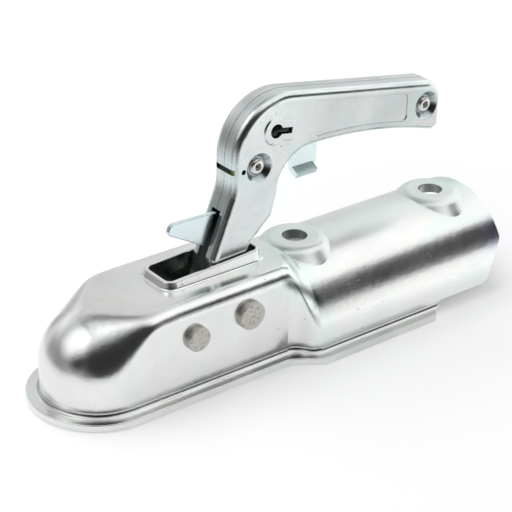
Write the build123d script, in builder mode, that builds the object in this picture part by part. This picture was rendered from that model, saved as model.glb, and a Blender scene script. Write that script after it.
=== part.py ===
"""Trailer coupling head: a pressed steel ball coupling with a lifting handle and a safety latch.

X runs back along the draw tube, Y across, Z up. The origin lies under the middle of the ball
socket, on the plane of the flange that the pressing stands on. Sizes are in millimetres.
"""

import os
from math import asin, atan2, cos, degrees, hypot, pi, radians, sin, sqrt, tan

from build123d import *

os.makedirs("parts", exist_ok=True)

# Fits and clearances
RUN_FIT = 0.05  # radial clearance of a piece that turns on a pin or bush
SEAT_GAP = 0.1  # gap between pieces that sit against each other
CLEARANCE = 0.3  # room between pieces that pass each other
READING = 0.01  # tolerance for reading the height of an edge

# Pressed housing
BALL_DIAMETER = 50.0
BALL_CLEARANCE = 0.25
TUBE_DIAMETER = 70.0
TUBE_CLEARANCE = 0.15
SHEET = 3.5
NECK_TOP = 49.0  # height of the flat top over the neck
NECK_CORNER = 7.0  # radius along the upper corners of the neck
CROWN_ANGLE = 2.0  # degrees short of upright at which a round section gives way to a flat crown
DOME_DROP = 2.0  # how far the dome's crown lies below the neck's top
BLEND_FRONT = 12.0  # where the dome starts to change, ahead of the socket's middle
DOME_BLEND = 16.0  # where the dome's round has become the neck's corner
CROWN_BLEND = 28.0  # where the top has risen from the dome to the neck
BLEND_STEP = 4.0  # spacing of the sections along the blend
SHOULDER_START = 92.0
SHOULDER_LENGTH = 14.0
TUBE_AXIS_HEIGHT = 9.0
SEAT_LENGTH = 126.0  # tube seat behind the shoulder
FLANGE_WIDTH = 6.5
FLANGE_ROOT = 2.5  # radius between flange and wall
FLANGE_EDGE = 0.5
FLANGE_SETBACK = 46.0  # from the rear end forward to the flange's end
FLANGE_END_SLANT = 9.0
JOG_RADIUS = 9.0
SKIRT_LIFT = 6.4  # height of the wall's lower edge behind the flange
REAR_STEP_HEIGHT = 28.0
REAR_STEP_DEPTH = 9.5
REAR_LOWER_HEIGHT = 15.0
REAR_LOWER_DEPTH = 12.2
REAR_CORNER = 5.0

# Bolt bosses on the tube seat
BOLT_HOLE_DIAMETER = 13.0
BOLT_SPACING = 93.0
BOLT_SETBACK = 12.0  # from the shoulder back to the first bolt
BOSS_RADIUS = 15.0
BOSS_RISE = 1.2
BOSS_EDGE = 7.0
BOSS_SLOPE = 40.0
BOSS_DEPTH = 10.0

# Slot for the handle and its drawn collar
SLOT_FRONT = 34.0
SLOT_LENGTH = 53.0
SLOT_CORNER = 3.0
SLOT_SIDE_GAP = 0.7
COLLAR_HEIGHT = 4.0  # above the neck's top, at the front of the slot
COLLAR_RISE = 2.1  # further rise from the front of the slot to its rear
COLLAR_WALL = 2.0
COLLAR_TAPER = 15.0
COLLAR_BLEND = 1.5  # radius where the collar rises out of the neck
COLLAR_ROUND = 0.7  # radius along the collar's rim

# Ball clamp and its pivot
CLAMP_PIVOT_X = 36.3
CLAMP_PIVOT_Z = 31.0
CLAMP_PIN_RADIUS = 5.0
CLAMP_HEAD_RADIUS = 6.3
CLAMP_BUSH_WALL = 2.5
CLAMP_HUB_WALL = 4.0
CLAMP_SPACER_WALL = 3.5
CLAMP_HALF_WIDTH = 18.0
CLAMP_LIP_HEIGHT = 3.5  # lowest edge of the clamp above the flange plane
CLAMP_LIP_DEPTH = 13.0
CLAMP_TAIL_HALF_WIDTH = 3.5
CLAMP_EYE_WALL = 3.5

# Handle pivot
PIVOT_SPACING = 31.4  # from the clamp pivot back to the handle pivot
PIVOT_RISE = 2.2  # from the clamp pivot up to the handle pivot
PIVOT_PIN_RADIUS = 6.0
PIVOT_HEAD_RADIUS = 7.3
PIVOT_BUSH_WALL = 2.5
PIVOT_SPACER_WALL = 2.5
PIVOT_SPACER_CHAMFER = 2.0
PIVOT_WASHER = 1.5
HEAD_HEIGHT = 3.0  # how far a rivet head stands out of the housing
HEAD_ROUND = 0.8

# Motion, in degrees and as ratios to the handle's turn
HANDLE_TRAVEL = 36.0
CLAMP_RATIO = 0.4

# Handle halves
HANDLE_HALF_WIDTH = 8.8
HANDLE_SHEET = 2.0
HANDLE_EDGE = 4.0
ROUND_MARGIN = 0.4  # corner radius beyond the rounded edge's own
HANDLE_SEAM = 0.15  # half of the gap between the two halves
EYE_RADIUS = 13.0
ARM_LOBE_WALL = 4.5
BEND_FORWARD = 35.0  # centre of the upper bend behind the pivot
BEND_RISE = 69.0  # centre of the upper bend above the pivot
BEND_RADIUS = 29.5
GRIP_PITCH = 9.6
GRIP_END = 138.2  # grip's end behind the pivot
GRIP_END_DEPTH = 28.0
GRIP_END_RADIUS = 10.0
GRIP_TAIL_RADIUS = HANDLE_EDGE + ROUND_MARGIN
PALM_BACK = 52.5  # centre of the inner bend behind the pivot
PALM_RISE = 47.2
PALM_RADIUS = 19.9
GRIP_ARCH = 3.7  # how far the grip's underside arches above a straight line
KNEE_RISE = 55.3  # height of the stem's front bend above the pivot
KNEE_RADIUS = 20.0
STEM_LEAN = 21.8
HEEL_BACK = 29.3
HEEL_RISE = 35.8
HEEL_RADIUS = HANDLE_EDGE + ROUND_MARGIN
HEEL_UNDERCUT_BACK = 17.0
HEEL_UNDERCUT_RISE = 24.5
STEM_FOOT_RISE = 22.4
STEM_ROOT_RISE = 6.8
LATCH_MOUTH_RISE = 44.3  # top of the gap that the latch comes out of
LATCH_MOUTH_HALF_WIDTH = 3.2
RIM_START_RISE = 20.8  # below this the halves are flat plates
PALM_GAP_HALF_WIDTH = 5.0
SLIT_HEIGHT = 2.8
SLIT_HALF_WIDTH = 7.2
EYELET_RADIUS = 1.3
EYELET_FORWARD = 9.2  # small hole in front of the latch rivet

# Dished rivet seats of the handle
LATCH_PIVOT_BACK = 19.8
LATCH_PIVOT_RISE = 64.3
GRIP_RIVET_BACK = 127.6
GRIP_RIVET_RISE = 70.6
DISH_FLOOR_RADIUS = 5.0
DISH_DEPTH = 2.5
DISH_SLOPE = 45.0
RIVET_RADIUS = 2.5
RIVET_HEAD_RADIUS = 4.2
RIVET_HEAD_HEIGHT = 1.8
RIVET_ROLL = 0.9  # radius of the rolled rim of the head
RIVET_HOLLOW_RADIUS = 1.7
RIVET_HOLLOW_DEPTH = 2.4
RIVET_BUSH_WALL = 1.0

# Keyhole and recessed panel on each side of the handle
KEYHOLE_BACK = 29.6
KEYHOLE_RISE = 81.0
KEYHOLE_RADIUS = 3.6
KEYHOLE_SLOT = 9.6
KEYHOLE_SLOT_HALF = 1.6
KEYHOLE_RIM = 4.8
KEYHOLE_EMBOSS = 0.7
PANEL_DEPTH = 0.6
PANEL_START = 53.0
PANEL_LENGTH = 61.5
PANEL_TOP_MARGIN = 5.6
PANEL_LOW_MARGIN = 4.6
PANEL_CORNER = 3.0
PANEL_EDGE = 0.5  # radius along the edge of the panel

# Safety latch
LATCH_SHEET = 2.5
LATCH_EYE_RADIUS = 7.0
FIN_REACH = 28.4  # tip of the fin in front of the pivot
FIN_TOP_RISE = 44.0
FIN_TIP_DROP = 3.3  # from the fin's top corner down to its tip
FIN_TIP_RISE = FIN_TOP_RISE - FIN_TIP_DROP
FIN_HEEL_RISE = 27.6
FIN_NOSE = 2.3
FIN_LEAN = 2.2  # how far the blunt nose leans back at its top
FIN_NOSE_DROP = 1.5  # from the fin's tip down to the end of its lower edge
FIN_ROUND = 2.0  # radius of the fin's blunt nose
LATCH_EDGE = 0.5
TRIGGER_BACK = 46.2
TRIGGER_WIDTH = 15.4
TRIGGER_DROP = 16.3  # from the trigger arm down to its bent lip
TRIGGER_LIP = 5.0
TRIGGER_LIP_DIP = 30.0
TRIGGER_LIP_CUT = 2.5  # how much narrower the lip is than the trigger
TRIGGER_ARM_RISE = 70.0
TRIGGER_BEND = 1.2

# Springs
MAIN_WIRE_RADIUS = 1.3
MAIN_COIL_RADIUS = 10.2
MAIN_PITCH = 2.75
MAIN_FULL_TURNS = 3
MAIN_FOOT = 33.0
MAIN_ARM = 18.0
LATCH_WIRE_RADIUS = 0.4
LATCH_COIL_RADIUS = 4.3
LATCH_COIL_TURNS = 1.35
LATCH_SPRING_LEG = 6.0

# Cross pin that drives the clamp
CAM_PIN_RADIUS = 3.0
CAM_PIN_FORWARD = 3.0
CAM_PIN_DROP = 18.0
CAM_PIN_HEAD = 1.0

# Indicator strip behind the slit
INDICATOR_SHEET = 1.0
INDICATOR_HEIGHT = 9.0

# Derived places and sizes
SOCKET_RADIUS = BALL_DIAMETER / 2 + BALL_CLEARANCE
NECK_HALF_WIDTH = SOCKET_RADIUS + SHEET
NECK_INSIDE = SOCKET_RADIUS
BORE_RADIUS = TUBE_DIAMETER / 2 + TUBE_CLEARANCE
TUBE_HALF_WIDTH = BORE_RADIUS + SHEET
TUBE_TOP = TUBE_AXIS_HEIGHT + TUBE_HALF_WIDTH
DOME_TOP = NECK_TOP - DOME_DROP
BALL_HEIGHT = DOME_TOP - NECK_HALF_WIDTH
SHOULDER_END = SHOULDER_START + SHOULDER_LENGTH
HOUSING_REAR = SHOULDER_END + SEAT_LENGTH
FLANGE_END = HOUSING_REAR - FLANGE_SETBACK
BOLT_XS = (SHOULDER_END + BOLT_SETBACK, SHOULDER_END + BOLT_SETBACK + BOLT_SPACING)
BOSS_TOP = TUBE_TOP + BOSS_RISE
SLOT_HALF_WIDTH = HANDLE_HALF_WIDTH + SLOT_SIDE_GAP
CLAMP_PIVOT = (CLAMP_PIVOT_X, CLAMP_PIVOT_Z)
PIVOT = (CLAMP_PIVOT_X + PIVOT_SPACING, CLAMP_PIVOT_Z + PIVOT_RISE)
CLAMP_BUSH_RADIUS = CLAMP_PIN_RADIUS + RUN_FIT + CLAMP_BUSH_WALL
PIVOT_BUSH_RADIUS = PIVOT_PIN_RADIUS + RUN_FIT + PIVOT_BUSH_WALL
CAM_PIN = (PIVOT[0] - CAM_PIN_FORWARD, PIVOT[1] - CAM_PIN_DROP)
LATCH_PIVOT = (PIVOT[0] + LATCH_PIVOT_BACK, PIVOT[1] + LATCH_PIVOT_RISE)
GRIP_RIVET = (PIVOT[0] + GRIP_RIVET_BACK, PIVOT[1] + GRIP_RIVET_RISE)
DISH_INSIDE = HANDLE_HALF_WIDTH - DISH_DEPTH - HANDLE_SHEET
RIVET_BUSH_RADIUS = RIVET_RADIUS + RUN_FIT + RIVET_BUSH_WALL
LATCH_HALF = LATCH_SHEET / 2


def turned(point, centre, angle):
    """Point of the side view after a turn about a centre, positive when the handle lifts."""
    a = radians(angle)
    dx = point[0] - centre[0]
    dz = point[1] - centre[1]
    return (centre[0] + dx * cos(a) - dz * sin(a), centre[1] + dx * sin(a) + dz * cos(a))


def eased(t):
    """Share of a change that starts and ends without a kink."""
    return (1 - cos(pi * t)) / 2


def arch_section(half_width, top, corner, bottom):
    """Cross-section with upright walls, rounded upper corners and a flat crown between them."""
    flat = half_width - corner
    spring = top - corner
    sweep_angle = 90 - CROWN_ANGLE
    with BuildSketch() as section:
        with BuildLine():
            Line((-half_width, bottom), (-half_width, spring))
            left = CenterArc((-flat, spring), corner, 180, -sweep_angle)
            right = CenterArc((flat, spring), corner, sweep_angle, -sweep_angle)
            Line(left @ 1, right @ 0)
            Line((half_width, spring), (half_width, bottom))
            Line((half_width, bottom), (-half_width, bottom))
        make_face()
    return section.sketch


def dome_width(x, inset):
    """Half width of the pressing at x, round in plan ahead of the socket's middle."""
    radius = NECK_HALF_WIDTH - inset
    return sqrt(radius**2 - min(x, 0) ** 2)


def blend_size(x, inset):
    """Half width, top and corner of the section at x, from the round dome to the neck."""
    half_width = dome_width(x, inset)
    turn = eased(min((x + BLEND_FRONT) / (DOME_BLEND + BLEND_FRONT), 1))
    lift = eased(min((x + BLEND_FRONT) / (CROWN_BLEND + BLEND_FRONT), 1))
    dome_top = BALL_HEIGHT + half_width
    corner = half_width + (NECK_CORNER - inset - half_width) * turn
    top = dome_top + (NECK_TOP - inset - dome_top) * lift
    return half_width, top, corner


def shoulder_size(x):
    """Half width, top and corner of the section at x across the shoulder."""
    t = eased((x - SHOULDER_START) / SHOULDER_LENGTH)
    half_width = NECK_HALF_WIDTH + (TUBE_HALF_WIDTH - NECK_HALF_WIDTH) * t
    top = NECK_TOP + (TUBE_TOP - NECK_TOP) * t
    corner = NECK_CORNER + (TUBE_HALF_WIDTH - NECK_CORNER) * t
    return half_width, top, corner


SHOULDER_STEPS = 4
blend_steps = round((BLEND_FRONT + CROWN_BLEND) / BLEND_STEP)
blend_xs = [-BLEND_FRONT + (BLEND_FRONT + CROWN_BLEND) * i / blend_steps for i in range(blend_steps + 1)]


def pressing_form(inset, bottom):
    """Solid form of the pressing, taken in by the sheet when it is the hollow."""
    half_width = NECK_HALF_WIDTH - inset
    with BuildPart() as form:
        with BuildSketch(Plane.YZ):
            with BuildLine():
                Line((0, bottom), (half_width, bottom))
                Line((half_width, bottom), (half_width, BALL_HEIGHT))
                JernArc((half_width, BALL_HEIGHT), (0, 1), half_width, 90)
                Line((0, BALL_HEIGHT + half_width), (0, bottom))
            make_face()
        revolve(axis=Axis.Z, revolution_arc=180)
        split(bisect_by=Plane.YZ.offset(-BLEND_FRONT), keep=Keep.BOTTOM)
        for x in blend_xs:
            wide, high, corner = blend_size(x, inset)
            with BuildSketch(Plane.YZ.offset(x)):
                add(arch_section(wide, high, corner, bottom))
        loft()
        with BuildSketch(Plane.YZ.offset(CROWN_BLEND)):
            add(arch_section(half_width, NECK_TOP - inset, NECK_CORNER - inset, bottom))
        extrude(amount=SHOULDER_START - CROWN_BLEND)
        for step in range(SHOULDER_STEPS + 1):
            x = SHOULDER_START + SHOULDER_LENGTH * step / SHOULDER_STEPS
            wide, high, corner = shoulder_size(x)
            with BuildSketch(Plane.YZ.offset(x)):
                add(arch_section(wide - inset, high - inset, corner - inset, bottom))
        loft()
    return form.part


def on_wall(point):
    """True where a point in plan lies on or inside the outer face of the wall."""
    if point.X < 0:
        return hypot(point.X, point.Y) < NECK_HALF_WIDTH + RUN_FIT
    x = min(max(point.X, SHOULDER_START), SHOULDER_END)
    return abs(point.Y) < shoulder_size(x)[0] + RUN_FIT + SHEET / 4


def flange_plate():
    """Flat plate of the flange, its upper rim rounded, before the hollow is taken out of it."""
    front_edge = NECK_HALF_WIDTH + FLANGE_WIDTH
    rear_edge = TUBE_HALF_WIDTH + FLANGE_WIDTH
    jog_start = SHOULDER_START - FLANGE_WIDTH / 2
    jog_end = SHOULDER_END - FLANGE_WIDTH / 4
    flange_side = [
        (0, front_edge),
        (jog_start, front_edge),
        (jog_end, rear_edge),
        (FLANGE_END - FLANGE_END_SLANT, rear_edge),
        (FLANGE_END, TUBE_HALF_WIDTH - SHEET / 2),
    ]
    with BuildPart() as plate:
        with BuildSketch() as plan:
            with BuildLine():
                Polyline(*flange_side)
                Line(flange_side[-1], (FLANGE_END, -flange_side[-1][1]))
                Polyline(*[(x, -y) for x, y in flange_side])
                ThreePointArc((0, front_edge), (-front_edge, 0), (0, -front_edge))
            make_face()
            jog = plan.vertices().filter_by_position(Axis.X, jog_start - READING, jog_end + READING)
            fillet(jog, JOG_RADIUS)
        extrude(amount=SHEET)
        rim = plate.faces().sort_by(Axis.Z)[-1].edges()
        fillet(rim.filter_by_position(Axis.X, -front_edge, FLANGE_END - FLANGE_END_SLANT), FLANGE_EDGE)
    return plate.part


# Housing
with BuildPart() as housing:
    add(pressing_form(0, 0))
    with BuildSketch(Plane.YZ.offset(SHOULDER_END)):
        add(arch_section(TUBE_HALF_WIDTH, TUBE_TOP, TUBE_HALF_WIDTH, 0))
    extrude(amount=HOUSING_REAR - SHOULDER_END)

    # Flange round the foot, following the wall
    add(flange_plate())
    root_edges = (
        housing.edges()
        .filter_by_position(Axis.Z, SHEET - READING, SHEET + READING)
        .filter_by(lambda e: on_wall(e.center()))
    )
    fillet(root_edges, FLANGE_ROOT)

    # Flat bosses under the bolt heads, with rounded rims and sloping flanks
    for x in BOLT_XS:
        with BuildSketch(Plane.XZ) as boss_profile:
            Polygon(
                (x, BOSS_TOP - BOSS_DEPTH),
                (x + BOSS_RADIUS + BOSS_DEPTH * tan(radians(BOSS_SLOPE)), BOSS_TOP - BOSS_DEPTH),
                (x + BOSS_RADIUS, BOSS_TOP),
                (x, BOSS_TOP),
                align=None,
            )
            boss_rim = boss_profile.vertices().sort_by_distance((x + BOSS_RADIUS, BOSS_TOP))[0]
            fillet(boss_rim, BOSS_EDGE)
        revolve(axis=Axis((x, 0, 0), (0, 0, 1)))

    # Collar drawn up round the slot, its rim rising to the rear
    slot_middle = SLOT_FRONT + SLOT_LENGTH / 2
    collar_root = NECK_TOP - SHEET / 2
    rim_front = NECK_TOP + COLLAR_HEIGHT
    rim_rear = rim_front + COLLAR_RISE
    collar_base = COLLAR_WALL + (rim_front - collar_root) * tan(radians(COLLAR_TAPER))
    with BuildSketch(Plane.XY.offset(collar_root)):
        with Locations((slot_middle, 0)):
            RectangleRounded(
                SLOT_LENGTH + 2 * collar_base,
                2 * (SLOT_HALF_WIDTH + collar_base),
                SLOT_CORNER + collar_base,
            )
    extrude(amount=rim_rear - collar_root, taper=COLLAR_TAPER)
    slope = COLLAR_RISE / SLOT_LENGTH
    far_x = SLOT_FRONT + SLOT_LENGTH + 4 * COLLAR_WALL
    near_x = SLOT_FRONT - 4 * COLLAR_WALL
    with BuildSketch(Plane.XZ):
        Polygon(
            (near_x, rim_front + slope * (near_x - SLOT_FRONT)),
            (far_x, rim_front + slope * (far_x - SLOT_FRONT)),
            (far_x, rim_rear + SLOT_LENGTH),
            (near_x, rim_rear + SLOT_LENGTH),
            align=None,
        )
    extrude(amount=NECK_HALF_WIDTH, both=True, mode=Mode.SUBTRACT)

    collar_foot = (
        housing.edges()
        .filter_by_position(Axis.Z, NECK_TOP - READING, NECK_TOP + READING)
        .filter_by(lambda e: abs(e.center().X - slot_middle) < SLOT_LENGTH / 2 + 2 * COLLAR_WALL)
        .filter_by(lambda e: abs(e.center().Y) < SLOT_HALF_WIDTH + 2 * COLLAR_WALL)
    )
    fillet(collar_foot, COLLAR_BLEND)

    # Hollow of the pressing and the bore for the draw tube
    add(pressing_form(SHEET, -SHEET), mode=Mode.SUBTRACT)
    with BuildSketch(Plane.YZ.offset(SHOULDER_END)):
        with Locations((0, TUBE_AXIS_HEIGHT)):
            Circle(BORE_RADIUS)
        with Locations((0, TUBE_AXIS_HEIGHT)):
            Rectangle(2 * BORE_RADIUS, 2 * BORE_RADIUS, align=(Align.CENTER, Align.MAX))
    extrude(amount=HOUSING_REAR, mode=Mode.SUBTRACT)
    with BuildSketch(Plane.XY.offset(NECK_TOP - 2 * SHEET)):
        with Locations((slot_middle, 0)):
            RectangleRounded(SLOT_LENGTH, 2 * SLOT_HALF_WIDTH, SLOT_CORNER)
    extrude(amount=4 * SHEET, mode=Mode.SUBTRACT)
    fillet(housing.faces().sort_by(Axis.Z)[-1].edges(), COLLAR_ROUND)

    # Bolt holes and pin holes
    with BuildSketch(Plane.XY.offset(TUBE_AXIS_HEIGHT)):
        with Locations(*[(x, 0) for x in BOLT_XS]):
            Circle(BOLT_HOLE_DIAMETER / 2)
    extrude(amount=2 * BORE_RADIUS, mode=Mode.SUBTRACT)
    with BuildSketch(Plane.XZ):
        with Locations(CLAMP_PIVOT):
            Circle(CLAMP_PIN_RADIUS + RUN_FIT)
        with Locations(PIVOT):
            Circle(PIVOT_PIN_RADIUS + RUN_FIT)
    extrude(amount=2 * NECK_HALF_WIDTH, both=True, mode=Mode.SUBTRACT)

    # Raised skirt behind the flange and the stepped rear end
    with BuildSketch(Plane.XZ) as rear_cut:
        Polygon(
            (FLANGE_END, -SHEET),
            (FLANGE_END, SKIRT_LIFT),
            (HOUSING_REAR - REAR_LOWER_DEPTH, SKIRT_LIFT),
            (HOUSING_REAR - REAR_STEP_DEPTH, REAR_LOWER_HEIGHT),
            (HOUSING_REAR, REAR_STEP_HEIGHT),
            (HOUSING_REAR + SHEET, REAR_STEP_HEIGHT),
            (HOUSING_REAR + SHEET, -SHEET),
            align=None,
        )
        skirt_end = (HOUSING_REAR - REAR_LOWER_DEPTH, SKIRT_LIFT)
        skirt_corner = rear_cut.vertices().sort_by_distance(skirt_end)[0]
        fillet(skirt_corner, REAR_CORNER)
    extrude(amount=2 * TUBE_HALF_WIDTH, both=True, mode=Mode.SUBTRACT)
housing.part.label = "housing"
export_step(housing.part, "parts/housing.step")


def ring(inner, outer, centre, start, end):
    """Ring or sleeve about an axis across the part, from one place in Y to another."""
    with BuildPart() as sleeve:
        with BuildSketch(Plane.XZ.offset(-start)):
            with Locations(centre):
                Circle(outer)
                Circle(inner, mode=Mode.SUBTRACT)
        extrude(amount=start - end)
    return sleeve.part


def headed_pin(radius, head_radius, centre, grip):
    """Pin across the part with a flat round-edged head at each end of its grip."""
    with BuildPart() as pin:
        with BuildSketch(Plane.XZ):
            with Locations(centre):
                Circle(radius)
        extrude(amount=grip, both=True)
        for side in (1, -1):
            with BuildSketch(Plane.XZ.offset(side * grip)):
                with Locations(centre):
                    Circle(head_radius)
            extrude(amount=side * HEAD_HEIGHT)
        fillet(pin.faces().sort_by(Axis.Y)[0].edges(), HEAD_ROUND)
        fillet(pin.faces().sort_by(Axis.Y)[-1].edges(), HEAD_ROUND)
    return pin.part


def hollow_rivet(centre, grip):
    """Rivet across the handle whose ends are rolled over into rings round a hollow."""
    with BuildPart() as rivet:
        with BuildSketch(Plane.XZ):
            with Locations(centre):
                Circle(RIVET_RADIUS)
        extrude(amount=grip, both=True)
        for side in (1, -1):
            with BuildSketch(Plane.XZ.offset(side * grip)):
                with Locations(centre):
                    Circle(RIVET_HEAD_RADIUS)
            extrude(amount=side * RIVET_HEAD_HEIGHT)
        end_faces = (rivet.faces().sort_by(Axis.Y)[0], rivet.faces().sort_by(Axis.Y)[-1])
        fillet([face.edges()[0] for face in end_faces], RIVET_HEAD_HEIGHT - SEAT_GAP)
        for side in (1, -1):
            with BuildSketch(Plane.XZ.offset(side * (grip + RIVET_HEAD_HEIGHT))):
                with Locations(centre):
                    Circle(RIVET_HOLLOW_RADIUS)
            extrude(amount=-side * RIVET_HOLLOW_DEPTH, mode=Mode.SUBTRACT)
        mouths = rivet.edges().filter_by(GeomType.CIRCLE).filter_by(
            lambda e: abs(e.radius - RIVET_HOLLOW_RADIUS) < SEAT_GAP
        )
        mouths = mouths.filter_by(lambda e: abs(e.center().Y) > grip + RIVET_HEAD_HEIGHT / 2)
        fillet(mouths, RIVET_ROLL / 2)
    return rivet.part


# Clamp pivot: pin riveted through both walls, sleeve and two spacers
wall_inside = NECK_INSIDE - SEAT_GAP
wall_outside = NECK_HALF_WIDTH + SEAT_GAP

with BuildPart() as clamp_pivot_pin:
    add(headed_pin(CLAMP_PIN_RADIUS, CLAMP_HEAD_RADIUS, CLAMP_PIVOT, wall_outside))
clamp_pivot_pin.part.label = "clamp_pivot_pin"
export_step(clamp_pivot_pin.part, "parts/clamp_pivot_pin.step")

with BuildPart() as clamp_bush:
    add(ring(CLAMP_PIN_RADIUS + RUN_FIT, CLAMP_BUSH_RADIUS, CLAMP_PIVOT, -wall_inside, wall_inside))
clamp_bush.part.label = "clamp_bush"
export_step(clamp_bush.part, "parts/clamp_bush.step")

spacer_inner = CLAMP_BUSH_RADIUS + RUN_FIT
spacer_outer = spacer_inner + CLAMP_SPACER_WALL
spacer_start = CLAMP_HALF_WIDTH + CLEARANCE

with BuildPart() as clamp_spacer_left:
    add(ring(spacer_inner, spacer_outer, CLAMP_PIVOT, -wall_inside, -spacer_start))
clamp_spacer_left.part.label = "clamp_spacer_left"
export_step(clamp_spacer_left.part, "parts/clamp_spacer_left.step")

with BuildPart() as clamp_spacer_right:
    add(ring(spacer_inner, spacer_outer, CLAMP_PIVOT, spacer_start, wall_inside))
clamp_spacer_right.part.label = "clamp_spacer_right"
export_step(clamp_spacer_right.part, "parts/clamp_spacer_right.step")

# Ball clamp: cup against the ball, hub on its sleeve and a tail with the cam slot
cam_path = [
    turned(turned(CAM_PIN, PIVOT, angle), CLAMP_PIVOT, -angle * CLAMP_RATIO)
    for angle in (0, HANDLE_TRAVEL / 2, HANDLE_TRAVEL)
]
pivot_path = [
    turned(PIVOT, CLAMP_PIVOT, -angle * CLAMP_RATIO)
    for angle in (-HANDLE_TRAVEL / 4, HANDLE_TRAVEL / 2, HANDLE_TRAVEL)
]
cam_slot_half = CAM_PIN_RADIUS + CLEARANCE
clamp_bore = CLAMP_BUSH_RADIUS + RUN_FIT
clamp_hub = clamp_bore + CLAMP_HUB_WALL
cup_radius = SOCKET_RADIUS + RUN_FIT
lip_front = sqrt(cup_radius**2 - (BALL_HEIGHT - CLAMP_LIP_HEIGHT) ** 2)


def clamp_tail():
    """Side view of the clamp's tail, from its hub to round the cam slot."""
    with BuildSketch() as tail:
        with Locations(CLAMP_PIVOT):
            Circle(clamp_hub - CLEARANCE)
        with Locations(cam_path[0], cam_path[-1]):
            Circle(cam_slot_half + CLAMP_EYE_WALL)
        make_hull()
    return tail.sketch


with BuildPart() as ball_clamp:
    with BuildSketch(Plane.XZ):
        Polygon(
            (lip_front - SHEET, CLAMP_LIP_HEIGHT),
            (lip_front + CLAMP_LIP_DEPTH, CLAMP_LIP_HEIGHT),
            (CLAMP_PIVOT_X + clamp_hub * cos(pi / 4), CLAMP_PIVOT_Z - clamp_hub * sin(pi / 4)),
            CLAMP_PIVOT,
            (CLAMP_PIVOT_X - clamp_hub, CLAMP_PIVOT_Z),
            (lip_front - SHEET, BALL_HEIGHT),
            align=None,
        )
        with Locations(CLAMP_PIVOT):
            Circle(clamp_hub)
    extrude(amount=CLAMP_HALF_WIDTH, both=True)
    with BuildSketch(Plane.XZ):
        add(clamp_tail())
        SlotArc(
            Edge.make_three_point_arc(*pivot_path),
            2 * (PIVOT_PIN_RADIUS + 2 * CLEARANCE),
            mode=Mode.SUBTRACT,
        )
    extrude(amount=CLAMP_TAIL_HALF_WIDTH, both=True)
    with BuildSketch(Plane.XZ):
        SlotArc(Edge.make_three_point_arc(*cam_path), 2 * cam_slot_half)
        with Locations(CLAMP_PIVOT):
            Circle(clamp_bore)
    extrude(amount=2 * CLAMP_HALF_WIDTH, both=True, mode=Mode.SUBTRACT)
    with Locations((0, 0, BALL_HEIGHT)):
        Sphere(cup_radius, mode=Mode.SUBTRACT)
ball_clamp.part.label = "ball_clamp"
export_step(ball_clamp.part, "parts/ball_clamp.step")

# Handle pivot: pin riveted through both walls, sleeves, a spacer and a washer
with BuildPart() as handle_pivot_pin:
    add(headed_pin(PIVOT_PIN_RADIUS, PIVOT_HEAD_RADIUS, PIVOT, wall_outside))
handle_pivot_pin.part.label = "handle_pivot_pin"
export_step(handle_pivot_pin.part, "parts/handle_pivot_pin.step")

bush_start = HANDLE_HALF_WIDTH - 2 * HANDLE_SHEET
pivot_ring_inner = PIVOT_BUSH_RADIUS + RUN_FIT
pivot_ring_outer = pivot_ring_inner + PIVOT_SPACER_WALL
side_start = HANDLE_HALF_WIDTH + CLEARANCE

with BuildPart() as pivot_bush_left:
    add(ring(PIVOT_PIN_RADIUS + RUN_FIT, PIVOT_BUSH_RADIUS, PIVOT, -wall_inside, -bush_start))
pivot_bush_left.part.label = "pivot_bush_left"
export_step(pivot_bush_left.part, "parts/pivot_bush_left.step")

with BuildPart() as pivot_bush_right:
    add(ring(PIVOT_PIN_RADIUS + RUN_FIT, PIVOT_BUSH_RADIUS, PIVOT, bush_start, wall_inside))
pivot_bush_right.part.label = "pivot_bush_right"
export_step(pivot_bush_right.part, "parts/pivot_bush_right.step")

with BuildPart() as pivot_washer:
    add(ring(pivot_ring_inner, pivot_ring_outer, PIVOT, -side_start - PIVOT_WASHER, -side_start))
pivot_washer.part.label = "pivot_washer"
export_step(pivot_washer.part, "parts/pivot_washer.step")

with BuildPart() as pivot_spacer:
    add(ring(pivot_ring_inner, pivot_ring_outer, PIVOT, side_start, wall_inside))
    chamfer(pivot_spacer.faces().sort_by(Axis.Y)[-1].outer_wire().edges(), PIVOT_SPACER_CHAMFER)
pivot_spacer.part.label = "pivot_spacer"
export_step(pivot_spacer.part, "parts/pivot_spacer.step")


def torsion_spring(turns, height, coil_radius, wire_radius, foot, arm):
    """Coil about its own Z with a straight foot where it starts and a straight arm where it ends."""
    with BuildPart() as spring:
        with BuildLine() as coil:
            Helix(height / turns, height, coil_radius)
        with BuildSketch(Plane(coil.line @ 0, z_dir=coil.line % 0)):
            Circle(wire_radius)
        sweep(path=coil.line)
        with BuildSketch(Plane(coil.line @ 0, z_dir=coil.line % 0)):
            Circle(wire_radius)
        extrude(amount=-foot)
        with BuildSketch(Plane(coil.line @ 1, z_dir=coil.line % 1)):
            Circle(wire_radius)
        extrude(amount=arm)
    return spring.part


# Main spring: coil round the left sleeve, one foot over the clamp's spacer, one arm on the cross pin
arm_drop = MAIN_COIL_RADIUS - CAM_PIN_RADIUS - MAIN_WIRE_RADIUS - SEAT_GAP
cam_offset = hypot(CAM_PIN_FORWARD, CAM_PIN_DROP)
arm_angle = degrees(asin(arm_drop / cam_offset) + atan2(CAM_PIN_FORWARD, CAM_PIN_DROP))
main_turns = MAIN_FULL_TURNS + (90 + arm_angle) / 360
main_end = -(side_start + PIVOT_WASHER + CLEARANCE + SEAT_GAP + MAIN_WIRE_RADIUS)
main_start = main_end - main_turns * MAIN_PITCH

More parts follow.
